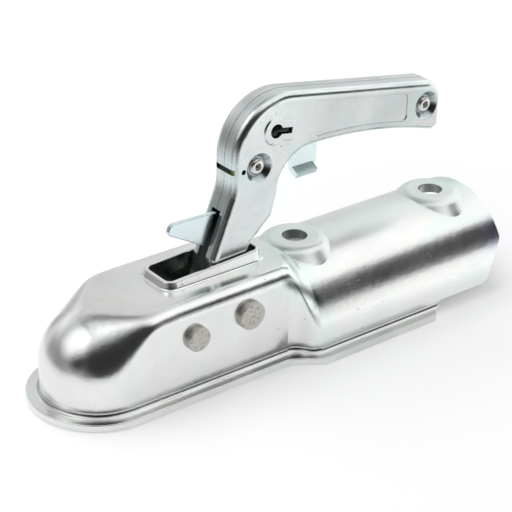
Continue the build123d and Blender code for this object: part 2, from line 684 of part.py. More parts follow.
with BuildPart() as main_spring:
    main_coil_plane = Plane((PIVOT[0], main_start, PIVOT[1]), x_dir=(0, 0, 1), z_dir=(0, 1, 0))
    main_wire = torsion_spring(
        main_turns, main_turns * MAIN_PITCH, MAIN_COIL_RADIUS, MAIN_WIRE_RADIUS, MAIN_FOOT, MAIN_ARM
    )
    add(main_wire.moved(main_coil_plane.location))
main_spring.part.label = "main_spring"
export_step(main_spring.part, "parts/main_spring.step")

# Outline of the handle in side view
bend = (PIVOT[0] + BEND_FORWARD, PIVOT[1] + BEND_RISE)
palm = (PIVOT[0] + PALM_BACK, PIVOT[1] + PALM_RISE)
grip_pitch = radians(GRIP_PITCH)
front_x = bend[0] - BEND_RADIUS
end_x = PIVOT[0] + GRIP_END
grip_start = (bend[0] + BEND_RADIUS * sin(grip_pitch), bend[1] + BEND_RADIUS * cos(grip_pitch))


def grip_top(x):
    """Height of the grip's straight upper edge."""
    return grip_start[1] - (x - grip_start[0]) * tan(grip_pitch)


end_top = (end_x, grip_top(end_x))
end_low = (end_x, grip_top(end_x) - GRIP_END_DEPTH)
palm_top = (palm[0], palm[1] + PALM_RADIUS)


def grip_underside(x):
    """Height of the grip's arched lower edge."""
    t = (x - palm_top[0]) / (end_low[0] - palm_top[0])
    return palm_top[1] + (end_low[1] - palm_top[1]) * t + 4 * GRIP_ARCH * t * (1 - t)


knee = (front_x, PIVOT[1] + KNEE_RISE)
foot_z = PIVOT[1] + STEM_FOOT_RISE
foot_x = knee[0] - (knee[1] - foot_z) * tan(radians(STEM_LEAN))
heel = (PIVOT[0] + HEEL_BACK, PIVOT[1] + HEEL_RISE)
undercut = (PIVOT[0] + HEEL_UNDERCUT_BACK, PIVOT[1] + HEEL_UNDERCUT_RISE)
root_half = sqrt(EYE_RADIUS**2 - STEM_ROOT_RISE**2)
root_z = PIVOT[1] + STEM_ROOT_RISE
middle_x = (palm_top[0] + end_low[0]) / 2


def handle_outline():
    """Side view of one handle half: grip, stem, pivot eye and the lobe that carries the cross pin."""
    with BuildSketch() as arm:
        with Locations(PIVOT):
            Circle(EYE_RADIUS)
        with Locations(CAM_PIN):
            Circle(CAM_PIN_RADIUS + ARM_LOBE_WALL)
        make_hull()
    with BuildSketch() as outline:
        with BuildLine():
            Polyline((PIVOT[0] - root_half, root_z), (foot_x, foot_z), knee, (front_x, bend[1]))
            ThreePointArc(
                (front_x, bend[1]),
                (bend[0] - BEND_RADIUS * cos(pi / 4), bend[1] + BEND_RADIUS * sin(pi / 4)),
                grip_start,
            )
            Polyline(grip_start, end_top, end_low)
            ThreePointArc(end_low, (middle_x, grip_underside(middle_x)), palm_top)
            ThreePointArc(
                palm_top,
                (palm[0] - PALM_RADIUS * cos(pi / 4), palm[1] + PALM_RADIUS * sin(pi / 4)),
                (palm[0] - PALM_RADIUS, palm[1]),
            )
            Polyline(
                (palm[0] - PALM_RADIUS, palm[1]),
                heel,
                undercut,
                (PIVOT[0] + root_half, root_z),
                (PIVOT[0] - root_half, root_z),
            )
        make_face()
        for corner, radius in (
            (knee, KNEE_RADIUS),
            (heel, HEEL_RADIUS),
            (end_top, GRIP_END_RADIUS),
            (end_low, GRIP_TAIL_RADIUS),
        ):
            fillet(outline.vertices().sort_by_distance(corner)[0], radius)
        add(arm.sketch)
    return outline.sketch


def keyhole(grow):
    """Keyhole in the side of the handle, grown outwards for the raised rim round it."""
    place = (PIVOT[0] + KEYHOLE_BACK, PIVOT[1] + KEYHOLE_RISE)
    with BuildSketch() as hole:
        with Locations(place):
            Circle(KEYHOLE_RADIUS + grow)
        with Locations(Location((place[0], place[1], 0), (0, 0, -GRIP_PITCH))):
            Rectangle(
                KEYHOLE_SLOT + grow,
                2 * (KEYHOLE_SLOT_HALF + grow),
                align=(Align.MIN, Align.CENTER),
            )
        if grow > 0:
            fillet(hole.vertices().sort_by(Axis.X)[-2:], KEYHOLE_RIM)
    return hole.sketch


with BuildPart() as handle_half_left:
    with BuildSketch(Plane.XZ.offset(HANDLE_SEAM)):
        add(handle_outline())
    extrude(amount=HANDLE_HALF_WIDTH - HANDLE_SEAM)
    fillet(handle_half_left.faces().sort_by(Axis.Y)[0].edges(), HANDLE_EDGE)
    with BuildSketch(Plane.XZ.offset(HANDLE_SEAM)):
        add(handle_outline())
        offset(amount=-HANDLE_SHEET)
    extrude(amount=HANDLE_HALF_WIDTH - HANDLE_SEAM - HANDLE_SHEET, mode=Mode.SUBTRACT)

    # Gaps in the rims for the clamp's tail, the latch fin and the trigger
    with BuildSketch(Plane.XZ):
        with Locations((PIVOT[0], PIVOT[1] + RIM_START_RISE)):
            Rectangle(4 * EYE_RADIUS, 8 * EYE_RADIUS, align=(Align.CENTER, Align.MAX))
    extrude(amount=HANDLE_HALF_WIDTH - HANDLE_SHEET, mode=Mode.SUBTRACT)
    with BuildSketch(Plane.XZ):
        with Locations((front_x - HANDLE_SHEET / 2, PIVOT[1] + LATCH_MOUTH_RISE)):
            Rectangle(
                2 * EYE_RADIUS,
                LATCH_MOUTH_RISE - RIM_START_RISE + HANDLE_SHEET,
                align=(Align.MAX, Align.MAX),
            )
    extrude(amount=LATCH_MOUTH_HALF_WIDTH, mode=Mode.SUBTRACT)
    gap_end = GRIP_RIVET[0] - DISH_FLOOR_RADIUS - DISH_DEPTH - 2 * HANDLE_SHEET
    gap_start = heel[0] - HANDLE_SHEET
    with BuildSketch(Plane.XZ):
        with Locations((gap_start, bend[1] + HANDLE_SHEET)):
            Rectangle(gap_end - gap_start, BEND_RISE - HEEL_RISE, align=(Align.MIN, Align.MAX))
    extrude(amount=PALM_GAP_HALF_WIDTH, mode=Mode.SUBTRACT)

    # Rivet seats dished into the side
    for place in (LATCH_PIVOT, GRIP_RIVET):
        with BuildSketch(Plane.XZ.offset(DISH_INSIDE)):
            with Locations(place):
                Circle(DISH_FLOOR_RADIUS + HANDLE_SHEET / 2)
        extrude(amount=DISH_DEPTH, taper=-DISH_SLOPE)
        with BuildSketch(Plane.XZ.offset(HANDLE_HALF_WIDTH - DISH_DEPTH)):
            with Locations(place):
                Circle(DISH_FLOOR_RADIUS)
        extrude(amount=DISH_DEPTH, taper=-DISH_SLOPE, mode=Mode.SUBTRACT)
    with BuildSketch(Plane.XZ):
        with Locations(LATCH_PIVOT, GRIP_RIVET):
            Circle(RIVET_RADIUS + RUN_FIT)
        with Locations(CAM_PIN):
            Circle(CAM_PIN_RADIUS + RUN_FIT)
        with Locations(PIVOT):
            Circle(PIVOT_BUSH_RADIUS + RUN_FIT)
        with Locations((LATCH_PIVOT[0] - EYELET_FORWARD, LATCH_PIVOT[1])):
            Circle(EYELET_RADIUS)
    extrude(amount=2 * HANDLE_HALF_WIDTH, mode=Mode.SUBTRACT)

    # Slit across the front, in front of the indicator
    with BuildSketch(Plane.XZ):
        with Locations((front_x, LATCH_PIVOT[1])):
            Rectangle(3 * HANDLE_SHEET, SLIT_HEIGHT)
    extrude(amount=SLIT_HALF_WIDTH, mode=Mode.SUBTRACT)

    # Keyhole with a raised rim, and the recessed panel
    with BuildSketch(Plane.XZ.offset(HANDLE_HALF_WIDTH - HANDLE_SHEET / 2)):
        add(keyhole(KEYHOLE_RIM))
    extrude(amount=HANDLE_SHEET / 2 + KEYHOLE_EMBOSS, taper=DISH_SLOPE)
    with BuildSketch(Plane.XZ):
        add(keyhole(0))
    extrude(amount=2 * HANDLE_HALF_WIDTH, mode=Mode.SUBTRACT)
    panel_left = PIVOT[0] + PANEL_START
    panel_right = panel_left + PANEL_LENGTH
    panel_middle = (panel_left + panel_right) / 2
    with BuildSketch(Plane.XZ.offset(HANDLE_HALF_WIDTH - PANEL_DEPTH)) as panel:
        with BuildLine():
            Polyline(
                (panel_left, grip_underside(panel_left) + PANEL_LOW_MARGIN),
                (panel_left, grip_top(panel_left) - PANEL_TOP_MARGIN),
                (panel_right, grip_top(panel_right) - PANEL_TOP_MARGIN),
                (panel_right, grip_underside(panel_right) + PANEL_LOW_MARGIN),
            )
            ThreePointArc(
                (panel_right, grip_underside(panel_right) + PANEL_LOW_MARGIN),
                (panel_middle, grip_underside(panel_middle) + PANEL_LOW_MARGIN),
                (panel_left, grip_underside(panel_left) + PANEL_LOW_MARGIN),
            )
        make_face()
        fillet(panel.vertices(), PANEL_CORNER)
    extrude(amount=HANDLE_SHEET, mode=Mode.SUBTRACT)
    panel_edge = (
        handle_half_left.edges()
        .filter_by_position(Axis.Y, -HANDLE_HALF_WIDTH - READING, -HANDLE_HALF_WIDTH + READING)
        .filter_by(lambda e: panel_left - READING < e.center().X < panel_right + READING)
        .filter_by(lambda e: e.center().Z < grip_top(e.center().X) - PANEL_TOP_MARGIN + READING)
        .filter_by(lambda e: e.center().Z > grip_underside(e.center().X) + HANDLE_EDGE + READING)
    )
    fillet(panel_edge, PANEL_EDGE)
handle_half_left.part.label = "handle_half_left"
export_step(handle_half_left.part, "parts/handle_half_left.step")

with BuildPart() as handle_half_right:
    add(handle_half_left.part)
    mirror(about=Plane.XZ, mode=Mode.REPLACE)
handle_half_right.part.label = "handle_half_right"
export_step(handle_half_right.part, "parts/handle_half_right.step")

# Cross pin through the lobes of both halves, running in the clamp's cam slot
collar_radius = CAM_PIN_RADIUS + ARM_LOBE_WALL / 3
collar_start = HANDLE_HALF_WIDTH + SEAT_GAP
cam_reach = -main_end + MAIN_WIRE_RADIUS

with BuildPart() as cam_pin:
    with BuildSketch(Plane.XZ.offset(-collar_start)):
        with Locations(CAM_PIN):
            Circle(CAM_PIN_RADIUS)
    extrude(amount=collar_start + cam_reach)
    for start in (collar_start, -collar_start - CAM_PIN_HEAD):
        with BuildSketch(Plane.XZ.offset(start)):
            with Locations(CAM_PIN):
                Circle(collar_radius)
        extrude(amount=CAM_PIN_HEAD)
cam_pin.part.label = "cam_pin"
export_step(cam_pin.part, "parts/cam_pin.step")

# Rivets of the handle with the sleeves they clamp
rivet_grip = HANDLE_HALF_WIDTH - DISH_DEPTH + RUN_FIT
sleeve_end = DISH_INSIDE - RUN_FIT

with BuildPart() as latch_rivet:
    add(hollow_rivet(LATCH_PIVOT, rivet_grip))
latch_rivet.part.label = "latch_rivet"
export_step(latch_rivet.part, "parts/latch_rivet.step")

with BuildPart() as latch_bush:
    add(ring(RIVET_RADIUS + RUN_FIT, RIVET_BUSH_RADIUS, LATCH_PIVOT, -sleeve_end, sleeve_end))
latch_bush.part.label = "latch_bush"
export_step(latch_bush.part, "parts/latch_bush.step")

with BuildPart() as latch_spacer:
    add(
        ring(
            RIVET_BUSH_RADIUS + RUN_FIT,
            LATCH_EYE_RADIUS - RIVET_BUSH_WALL,
            LATCH_PIVOT,
            LATCH_HALF + CLEARANCE,
            sleeve_end,
        )
    )
latch_spacer.part.label = "latch_spacer"
export_step(latch_spacer.part, "parts/latch_spacer.step")

with BuildPart() as grip_rivet:
    add(hollow_rivet(GRIP_RIVET, rivet_grip))
grip_rivet.part.label = "grip_rivet"
export_step(grip_rivet.part, "parts/grip_rivet.step")

with BuildPart() as grip_spacer:
    add(ring(RIVET_RADIUS + RUN_FIT, DISH_FLOOR_RADIUS, GRIP_RIVET, -sleeve_end, sleeve_end))
grip_spacer.part.label = "grip_spacer"
export_step(grip_spacer.part, "parts/grip_spacer.step")

# Latch spring: coil round the latch's sleeve between the latch and the left dish
latch_coil_start = -(sleeve_end - CLEARANCE - LATCH_WIRE_RADIUS)
latch_coil_end = -(LATCH_HALF + CLEARANCE + SEAT_GAP + LATCH_WIRE_RADIUS)
latch_coil_height = latch_coil_end - latch_coil_start
latch_coil_plane = Plane(
    (LATCH_PIVOT[0], latch_coil_start, LATCH_PIVOT[1]), x_dir=(0, 0, 1), z_dir=(0, 1, 0)
)

with BuildPart() as latch_spring:
    latch_wire = torsion_spring(
        LATCH_COIL_TURNS,
        latch_coil_height,
        LATCH_COIL_RADIUS,
        LATCH_WIRE_RADIUS,
        LATCH_SPRING_LEG,
        LATCH_SPRING_LEG,
    )
    add(latch_wire.moved(latch_coil_plane.location))
latch_spring.part.label = "latch_spring"
export_step(latch_spring.part, "parts/latch_spring.step")

# Indicator strip behind the slit
with BuildPart() as indicator_strip:
    with BuildSketch(Plane.YZ.offset(front_x + HANDLE_SHEET + SEAT_GAP)):
        with Locations((0, LATCH_PIVOT[1])):
            Rectangle(2 * (HANDLE_HALF_WIDTH - HANDLE_SHEET - 2 * SEAT_GAP), INDICATOR_HEIGHT)
    extrude(amount=INDICATOR_SHEET)
indicator_strip.part.label = "indicator_strip"
export_step(indicator_strip.part, "parts/indicator_strip.step")

# Safety latch: fin ahead of the stem, eye on its sleeve and the trigger under the grip
fin_tip = (PIVOT[0] - FIN_REACH, PIVOT[1] + FIN_TIP_RISE)
fin_top = PIVOT[1] + FIN_TOP_RISE
fin_heel = PIVOT[1] + FIN_HEEL_RISE
fin_root_z = PIVOT[1] + LATCH_MOUTH_RISE - FIN_NOSE / 2
rim_inside = HANDLE_SHEET / cos(radians(STEM_LEAN)) + 2 * CLEARANCE
fin_root_x = knee[0] - (knee[1] - fin_root_z) * tan(radians(STEM_LEAN)) + rim_inside
trigger_left = PIVOT[0] + TRIGGER_BACK
trigger_right = trigger_left + TRIGGER_WIDTH
trigger_top = PIVOT[1] + TRIGGER_ARM_RISE
lip_z = trigger_top - TRIGGER_DROP
lip_angle = radians(TRIGGER_LIP_DIP)
lip_across = TRIGGER_LIP * cos(lip_angle)
lip_down = TRIGGER_LIP * sin(lip_angle)

nose_top = (fin_tip[0] + FIN_LEAN, fin_top)
nose_low = (fin_tip[0], fin_tip[1] - FIN_NOSE_DROP)

with BuildPart() as safety_latch:
    with BuildSketch(Plane.XZ) as blade:
        Polygon(
            (LATCH_PIVOT[0] - LATCH_EYE_RADIUS, LATCH_PIVOT[1]),
            (LATCH_PIVOT[0] - LATCH_EYE_RADIUS - FIN_NOSE, LATCH_PIVOT[1] - LATCH_EYE_RADIUS),
            (fin_root_x, fin_root_z),
            nose_top,
            nose_low,
            (foot_x, fin_heel),
            (foot_x + LATCH_EYE_RADIUS, fin_heel),
            (foot_x + 2 * LATCH_EYE_RADIUS, fin_heel + LATCH_EYE_RADIUS),
            (LATCH_PIVOT[0] + LATCH_EYE_RADIUS / 2, LATCH_PIVOT[1] - 0.9 * LATCH_EYE_RADIUS),
            (trigger_left - FIN_NOSE, LATCH_PIVOT[1] + FIN_NOSE / 4),
            (trigger_left, lip_z),
            (trigger_right, lip_z),
            (trigger_right, trigger_top),
            (trigger_left, trigger_top + FIN_NOSE),
            (LATCH_PIVOT[0], LATCH_PIVOT[1] + LATCH_EYE_RADIUS),
            align=None,
        )
        with Locations(LATCH_PIVOT):
            Circle(LATCH_EYE_RADIUS)
        with Locations(LATCH_PIVOT):
            Circle(RIVET_BUSH_RADIUS + RUN_FIT, mode=Mode.SUBTRACT)
        for corner in (nose_top, nose_low):
            fillet(blade.vertices().sort_by_distance(corner)[0], FIN_ROUND)
    extrude(amount=LATCH_HALF, both=True)
    for side in (0, -1):
        rim = safety_latch.faces().sort_by(Axis.Y)[side].outer_wire().edges()
        fillet(rim.filter_by(lambda e: e.center().X < foot_x), LATCH_EDGE)
    with BuildSketch(Plane.YZ.offset(trigger_left)) as lip:
        Polygon(
            (LATCH_HALF, lip_z + LATCH_SHEET),
            (LATCH_HALF, lip_z - LATCH_SHEET / 2),
            (LATCH_HALF - lip_across - LATCH_SHEET / 2, lip_z - LATCH_SHEET / 2 - lip_down),
            (-LATCH_HALF - lip_across, lip_z + LATCH_SHEET / 2 - lip_down),
            (-LATCH_HALF, lip_z + LATCH_SHEET / 2),
            (-LATCH_HALF, lip_z + LATCH_SHEET),
            align=None,
        )
    extrude(amount=TRIGGER_WIDTH - TRIGGER_LIP_CUT)
safety_latch.part.label = "safety_latch"
export_step(safety_latch.part, "parts/safety_latch.step")
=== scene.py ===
from math import cos, pi, radians, sin

import bpy
from mathutils import Matrix, Vector


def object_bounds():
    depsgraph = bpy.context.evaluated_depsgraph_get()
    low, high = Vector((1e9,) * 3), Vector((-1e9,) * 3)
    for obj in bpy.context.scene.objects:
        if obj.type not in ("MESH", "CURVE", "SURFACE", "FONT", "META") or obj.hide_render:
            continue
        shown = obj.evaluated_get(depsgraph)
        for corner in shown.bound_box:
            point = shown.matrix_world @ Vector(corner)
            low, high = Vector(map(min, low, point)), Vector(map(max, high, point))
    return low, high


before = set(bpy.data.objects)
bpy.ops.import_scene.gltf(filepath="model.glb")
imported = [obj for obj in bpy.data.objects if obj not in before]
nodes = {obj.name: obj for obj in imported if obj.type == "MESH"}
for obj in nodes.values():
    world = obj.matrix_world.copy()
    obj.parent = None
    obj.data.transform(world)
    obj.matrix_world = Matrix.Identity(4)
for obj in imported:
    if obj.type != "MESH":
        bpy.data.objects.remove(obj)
cad_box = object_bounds()
scene = bpy.context.scene

# Places on the part, in metres, in the frame that all its pieces share at rest. A pair gives where an
# effect starts to change and where it has changed in full.

BOSS_TOPS = ((0.118, 0, 0.046), (0.211, 0, 0.046))
BOSS_RING = (0.016, 0.026)
TUBE_START = (0.106, 0.118)
DULL_STRIP = (0.006, 0.014)  # half-width of the duller strip along the top of the tube seat
MATT_STRIP = (0.013, 0.021)  # half-width of the rougher strip there
TUBE_END = (0.224, 0.236)
TUBE_END_LOW = (0.020, 0.027)
TUBE_END_HIGH = (0.033, 0.039)
FOOT_LOW = (0.0036, 0.0042)  # height of the dark line at the foot of the wall
FOOT_HIGH = (0.0050, 0.0068)
BRIM_TOP = (0.0034, 0.0040)  # height of the flange's upper face
BRIM_START = (0.095, 0.115)
CREASE_FALL = 0.75  # drop of the shoulder's crease per length along the tube
CREASE_LINE = 0.1110  # height that the crease's line would have over the ball
CREASE_WIDTH = (0.0008, 0.0042)
CREASE_WAVER = 0.006
CREASE_START = (0.086, 0.092)
CREASE_END = (0.106, 0.111)
CREASE_ASIDE = (0.0255, 0.0275)
RIVET_DISHES = ((0.0885, 0, 0.0967), (0.1963, 0, 0.1030))  # on the middle plane
DISH_RING = (0.0044, 0.0078)
GRIP_START = (0.119, 0.142)
LATCH_COVER_START = (0.067, 0.073)  # stretch of the latch that lies between the handle's halves
LATCH_COVER_END = (0.109, 0.113)
TINT_WAVER = 0.02  # how far the cloudiness moves the tints' edges along the part
INDICATOR_EDGE = (-0.004, 0.001)
INDICATOR_WAVER = 0.006

# Which way a face looks: 1 is straight to the side, or out from the middle plane

PANEL_FLAT = (0.90, 0.98)
EDGE_FLAT = (0.70, 0.96)
INWARD = (-0.5, -0.25)
ROOF_GAIN = 40  # weight of a face that looks down, for each metre of its height


# Node helpers

def new_material(name):
    mat = bpy.data.materials.new(name)
    mat.use_nodes = True
    tree = mat.node_tree
    tree.nodes.clear()
    out = tree.nodes.new("ShaderNodeOutputMaterial")
    return mat, tree, out


def add_node(tree, kind, **settings):
    node = tree.nodes.new(kind)
    for key, value in settings.items():
        setattr(node, key, value)
    return node


def coords(tree, kind):
    return add_node(tree, "ShaderNodeTexCoord").outputs[kind]


def split(tree, vector):
    node = add_node(tree, "ShaderNodeSeparateXYZ")
    tree.links.new(vector, node.inputs[0])
    return node.outputs


def noise(tree, place, scale, detail, rough, distortion=0.0):
    node = add_node(tree, "ShaderNodeTexNoise")
    node.inputs["Scale"].default_value = scale
    node.inputs["Detail"].default_value = detail
    node.inputs["Roughness"].default_value = rough
    node.inputs["Distortion"].default_value = distortion
    tree.links.new(place, node.inputs["Vector"])
    return node.outputs["Fac"]


def ramp(tree, value, stops):
    node = add_node(tree, "ShaderNodeValToRGB")
    points = node.color_ramp.elements
    points[0].position, points[0].color = stops[0][0], (*stops[0][1], 1)
    points[1].position, points[1].color = stops[-1][0], (*stops[-1][1], 1)
    for at, colour in stops[1:-1]:
        points.new(at).color = (*colour, 1)
    tree.links.new(value, node.inputs["Fac"])
    return node.outputs["Color"]


def spread(tree, value, span, to_low, to_high):
    node = add_node(tree, "ShaderNodeMapRange", clamp=True)
    node.inputs["From Min"].default_value = span[0]
    node.inputs["From Max"].default_value = span[1]
    node.inputs["To Min"].default_value = to_low
    node.inputs["To Max"].default_value = to_high
    tree.links.new(value, node.inputs["Value"])
    return node.outputs["Result"]


def rise(tree, value, span, top=1.0):
    return spread(tree, value, span, 0.0, top)


def fall(tree, value, span, top=1.0):
    return spread(tree, value, span, top, 0.0)


def maths(tree, kind, a, b=0):
    node = add_node(tree, "ShaderNodeMath", operation=kind)
    for socket, value in zip(node.inputs, (a, b)):
        if isinstance(value, (int, float)):
            socket.default_value = value
        else:
            tree.links.new(value, socket)
    return node.outputs["Value"]


def plus(tree, a, b):
    return maths(tree, "ADD", a, b)


def times(tree, a, b):
    return maths(tree, "MULTIPLY", a, b)


def mix(tree, kind, amount, a, b):
    node = add_node(tree, "ShaderNodeMix", data_type="RGBA", blend_type=kind)
    for socket, value in ((node.inputs[0], amount), (node.inputs[6], a), (node.inputs[7], b)):
        if isinstance(value, (int, float)):
            socket.default_value = value
        elif isinstance(value, tuple):
            socket.default_value = (*value, 1)
        else:
            tree.links.new(value, socket)
    return node.outputs[2]


def covered(tree, colour, amount, cover):
    return mix(tree, "MIX", amount, colour, cover)


def tinted(tree, colour, amount, tint):
    return mix(tree, "MULTIPLY", amount, colour, tint)


def shifted(tree, place, offset):
    node = add_node(tree, "ShaderNodeMapping")
    node.inputs["Location"].default_value = offset
    tree.links.new(place, node.inputs["Vector"])
    return node.outputs["Vector"]


def stretched(tree, place, scale, turn=(0, 0, 0)):
    node = add_node(tree, "ShaderNodeMapping")
    node.inputs["Scale"].default_value = scale
    node.inputs["Rotation"].default_value = turn
    tree.links.new(place, node.inputs["Vector"])
    return node.outputs["Vector"]


def bump(tree, height, strength, distance, normal=None):
    node = add_node(tree, "ShaderNodeBump")
    node.inputs["Strength"].default_value = strength
    node.inputs["Distance"].default_value = distance
    tree.links.new(height, node.inputs["Height"])
    if normal is not None:
        tree.links.new(normal, node.inputs["Normal"])
    return node.outputs["Normal"]


def distance_to(tree, place, point):
    node = add_node(tree, "ShaderNodeVectorMath", operation="DISTANCE")
    tree.links.new(place, node.inputs[0])
    node.inputs[1].default_value = point
    return node.outputs["Value"]


def near_points(tree, place, points, ring):
    """1 inside the ring round any of the points, and 0 outside it."""
    total = 0.0
    for point in points:
        total = maths(tree, "MAXIMUM", total, fall(tree, distance_to(tree, place, point), ring))
    return total


def principled(name, metallic):
    mat, tree, out = new_material(name)
    shader = add_node(tree, "ShaderNodeBsdfPrincipled")
    shader.inputs["Metallic"].default_value = metallic
    tree.links.new(shader.outputs["BSDF"], out.inputs["Surface"])
    return mat, tree, shader.inputs


# Zinc plate: pale metal with cloudy passivation tints, drawn lines, handling marks and specks; some layers
# add painted shade.
# A layer takes the skin and the colour so far, and gives back the colour with the layer on it.

# How dark the painted shade at the foot of the wall gets
FOOT_SHADE = 0.7
ROLLED_STREAKS = 0.55
TUBE_ROUGHER = 0.17
BRIM_ROUGHER = 0.42


class Skin:
    """The values that the layers of one plated material share."""

    def __init__(self, tree, seed):
        self.tree = tree
        self.where = coords(tree, "Object")
        self.along = split(tree, self.where)
        self.facing = split(tree, coords(tree, "Normal"))
        self.flat = maths(tree, "ABSOLUTE", self.facing["Y"])
        self.aside = maths(tree, "ABSOLUTE", self.along["Y"])
        self.place = shifted(tree, self.where, (seed, seed * 0.7, seed * 1.3))
        self.cloud = noise(tree, self.place, 26, detail=5, rough=0.6, distortion=0.4)

    def wavering_x(self):
        return plus(self.tree, self.along["X"], times(self.tree, self.cloud, TINT_WAVER))

    def tube_top(self, half_width):
        return times(self.tree, fall(self.tree, self.aside, half_width),
                     rise(self.tree, self.along["X"], TUBE_START))

    def bosses(self):
        return near_points(self.tree, self.where, BOSS_TOPS, BOSS_RING)

    def turned_in(self, roofed):
        """1 on faces that look in towards the middle plane, or down from a roof, and 0 on the outside."""
        tree = self.tree
        outward = times(tree, maths(tree, "SIGN", self.along["Y"]), self.facing["Y"])
        if roofed:
            over = times(tree, self.along["Z"], ROOF_GAIN)
            outward = plus(tree, outward, times(tree, over, self.facing["Z"]))
        return fall(tree, outward, INWARD)

    def tones_along(self, stops):
        low, high = stops[0][0], stops[-1][0]
        share = rise(self.tree, self.along["X"], (low, high))
        return ramp(self.tree, share, [((x - low) / (high - low), tone) for x, tone in stops])


def violet_tube_end(skin, colour):
    tree = skin.tree
    amount = rise(tree, skin.wavering_x(), TUBE_END)
    amount = times(tree, amount, fall(tree, skin.along["Z"], TUBE_END_HIGH))
    amount = times(tree, amount, rise(tree, skin.along["Z"], TUBE_END_LOW))
    return tinted(tree, colour, amount, (0.83, 0.80, 1.0))


def dull_tube_top(skin, colour):
    colour = tinted(skin.tree, colour, skin.tube_top(DULL_STRIP), (0.92, 0.975, 0.965))
    return tinted(skin.tree, colour, skin.bosses(), (0.97, 1.0, 0.99))


# Painted shade: darkens a band at the foot of the wall, in the corner where it meets the flange.
def painted_shade_foot(skin, colour):
    tree = skin.tree
    foot = times(tree, rise(tree, skin.along["Z"], FOOT_LOW, FOOT_SHADE),
                 fall(tree, skin.along["Z"], FOOT_HIGH))
    return tinted(tree, colour, foot, (0.45, 0.46, 0.46))


def painted_shade_crease(skin, colour):
    """Painted shade: a dark line in the crease that runs down the shoulder from the neck's upper corner."""
    tree = skin.tree
    line = plus(tree, skin.along["Z"], times(tree, skin.along["X"], CREASE_FALL))
    line = plus(tree, line, times(tree, maths(tree, "SUBTRACT", skin.cloud, 0.5), CREASE_WAVER))
    off = maths(tree, "ABSOLUTE", maths(tree, "SUBTRACT", line, CREASE_LINE))
    band = fall(tree, off, CREASE_WIDTH)
    band = times(tree, band, rise(tree, skin.along["X"], CREASE_START))
    band = times(tree, band, fall(tree, skin.along["X"], CREASE_END))
    band = times(tree, band, rise(tree, skin.aside, CREASE_ASIDE))
    return tinted(tree, colour, band, (0.24, 0.245, 0.24))


# Painted shade: faces that look inwards, or down from under a roof, get darker tones.
def painted_shade_inside_pressing(skin, colour):
    tones = skin.tones_along([(0.085, (0.50, 0.56, 0.51)), (0.095, (0.52, 0.53, 0.52))])
    return covered(skin.tree, colour, skin.turned_in(roofed=True), tones)


# Painted shade: the flat side panels along the grip are coloured darker, standing in for the darker
# reflection they show.
def painted_shade_grip(skin, colour):
    amount = rise(skin.tree, skin.wavering_x(), GRIP_START)
    amount = times(skin.tree, amount, rise(skin.tree, skin.flat, PANEL_FLAT))
    return tinted(skin.tree, colour, amount, (0.83, 0.82, 0.82))


def rolled_lines(skin, colour):
    tree = skin.tree
    lines = noise(tree, stretched(tree, skin.place, (45, 2200, 45)), 1.0, detail=3, rough=0.6)
    streak = ramp(tree, lines, [(0.36, (0.60, 0.72, 0.72)), (0.56, (1.0, 1.0, 1.0))])
    return tinted(tree, colour, fall(tree, skin.flat, EDGE_FLAT, ROLLED_STREAKS), streak)


# Painted shade: a darker ring in the dishes round the handle's rivets.
def painted_shade_dishes(skin, colour):
    tree = skin.tree
    on_plane = add_node(tree, "ShaderNodeCombineXYZ")
    tree.links.new(skin.along["X"], on_plane.inputs["X"])
    tree.links.new(skin.along["Z"], on_plane.inputs["Z"])
    dish_shade = near_points(tree, on_plane.outputs["Vector"], RIVET_DISHES, DISH_RING)
    return tinted(tree, colour, dish_shade, (0.40, 0.43, 0.46))


# Painted shade: faces inside the handle's channel get darker tones, near-black along the middle stretch.
def painted_shade_inside_handle(skin, colour):
    tones = skin.tones_along([(0.074, (0.42, 0.48, 0.46)), (0.080, (0.06, 0.07, 0.065)),
                              (0.124, (0.06, 0.07, 0.065)), (0.136, (0.76, 0.78, 0.77))])
    return covered(skin.tree, colour, skin.turned_in(roofed=False), tones)


# Painted shade: the stretch of the latch that lies between the handle's halves is coloured near-black.
def painted_shade_hidden_latch(skin, colour):
    tree = skin.tree
    hidden = times(tree, rise(tree, skin.along["X"], LATCH_COVER_START),
                   fall(tree, skin.along["X"], LATCH_COVER_END))
    return covered(tree, colour, hidden, (0.05, 0.06, 0.055))


def matt_tube_top(skin):
    strip = maths(skin.tree, "MAXIMUM", skin.tube_top(MATT_STRIP), skin.bosses())
    return times(skin.tree, strip, TUBE_ROUGHER)


def matt_brim(skin):
    return times(skin.tree, fall(skin.tree, skin.along["Z"], BRIM_TOP, BRIM_ROUGHER),
                 rise(skin.tree, skin.along["X"], BRIM_START))


